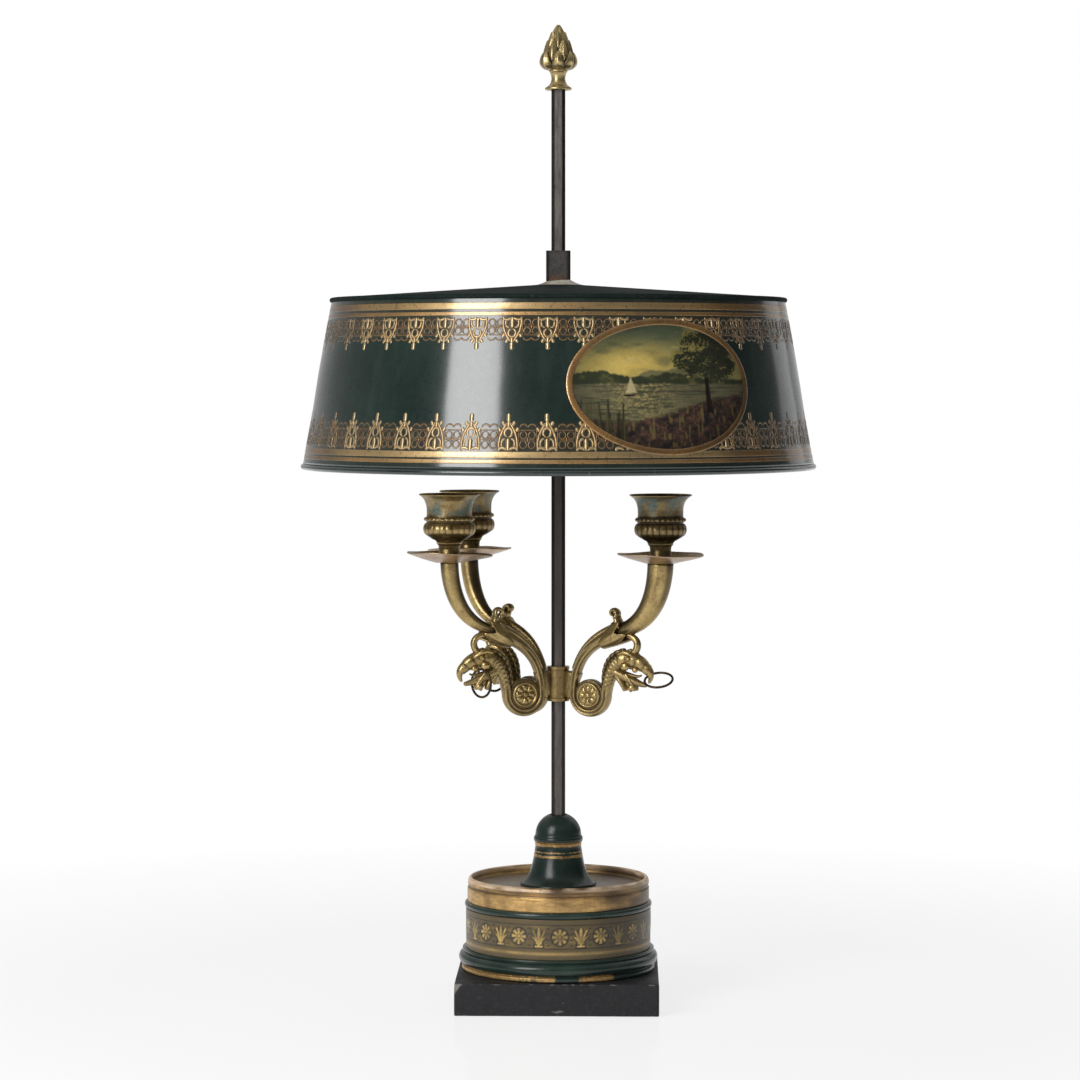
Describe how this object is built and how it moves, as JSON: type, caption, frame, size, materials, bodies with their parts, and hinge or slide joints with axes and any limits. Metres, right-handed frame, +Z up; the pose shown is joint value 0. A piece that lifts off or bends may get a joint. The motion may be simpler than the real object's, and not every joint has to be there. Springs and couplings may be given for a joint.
{
  "type": "bouillotte lamp",
  "caption": "Table candle lamp: a painted metal drum shade and a ring of horn-shaped brass candle arms slide on a square rod over a round tray base.",
  "frame": {"origin": "middle of the underside of the plinth, on the table", "axes": "+Z up along the rod, +X to the right seen from the front, +Y to the back"},
  "size_m": [0.3852, 0.3852, 0.73],
  "materials": {
    "plinth": "black paint, worn at the edges",
    "iron": "dark forged iron",
    "steel": "plain steel",
    "green_tole": "dark bottle green lacquer",
    "gilt_tole": "worn gilding over dark paint",
    "shade_tole": "dark green lacquer with gilt lace bands and a painted oval",
    "brass": "old patinated brass",
    "gilt_brass": "gilt brass, worn",
    "ring_wire": "dark oxidised wire",
    "tin": "dull tinned plate"
  },
  "bodies": {
    "base": {"plinth": "plinth", "rod_washer": "steel", "rod_nut": "steel", "ballast": "iron", "base_flange": "green_tole", "base_drum": "gilt_tole", "base_bead": "green_tole", "tray": "gilt_tole", "bell_socket": "green_tole", "rod": "iron", "finial": "gilt_brass"},
    "arms": {"arm_collar": "brass", "right_bracket": "brass", "right_horn": "brass", "right_rosettes": "gilt_brass", "right_drip_pan": "brass", "right_candle_cup": "brass", "front_bracket": "brass", "front_horn": "brass", "front_rosettes": "gilt_brass", "front_drip_pan": "brass", "front_candle_cup": "brass", "rear_bracket": "brass", "rear_horn": "brass", "rear_rosettes": "gilt_brass", "rear_drip_pan": "brass", "rear_candle_cup": "brass", "cup_screws": "steel"},
    "ring_right": {"right_ring": "ring_wire"},
    "ring_front": {"front_ring": "ring_wire"},
    "ring_rear": {"rear_ring": "ring_wire"},
    "collar_thumbscrew": {"collar_screw": "brass"},
    "shade": {"shade_wall": "shade_tole", "shade_lid": "green_tole", "shade_low_bead": "green_tole", "shade_top_bead": "green_tole", "shade_plate": "tin", "shade_sleeve": "iron"},
    "shade_thumbscrew": {"shade_screw": "brass"}
  },
  "joints": [
    {"name": "arms_slide", "type": "slide", "parent": "base", "child": "arms", "axis": [0, 0, 1], "range_m": [-0.075, 0.03]},
    {"name": "shade_slide", "type": "slide", "parent": "base", "child": "shade", "axis": [0, 0, 1], "range_m": [-0.1, 0.115]},
    {"name": "collar_screw_turn", "type": "hinge", "parent": "arms", "child": "collar_thumbscrew", "pos_m": [0, 0.012, 0.237], "axis": [0, 1, 0], "continuous": true},
    {"name": "shade_screw_turn", "type": "hinge", "parent": "shade", "child": "shade_thumbscrew", "pos_m": [0, 0.012, 0.549], "axis": [0, 1, 0], "continuous": true},
    {"name": "right_ring_swing", "type": "hinge", "parent": "arms", "child": "ring_right", "pos_m": [0.06525, -0.03043, 0.2434], "axis": [0.3798, 0.8146, 0.4384], "range_deg": [-10, 60]},
    {"name": "front_ring_swing", "type": "hinge", "parent": "arms", "child": "ring_front", "pos_m": [-0.05715, -0.01693, 0.2488], "axis": [0.7133, -0.7009, 0], "range_deg": [-35, 20]},
    {"name": "rear_ring_swing", "type": "hinge", "parent": "arms", "child": "ring_rear", "pos_m": [-0.04882, 0.03419, 0.2488], "axis": [-0.766, -0.6428, 0], "range_deg": [-35, 20]}
  ]
}
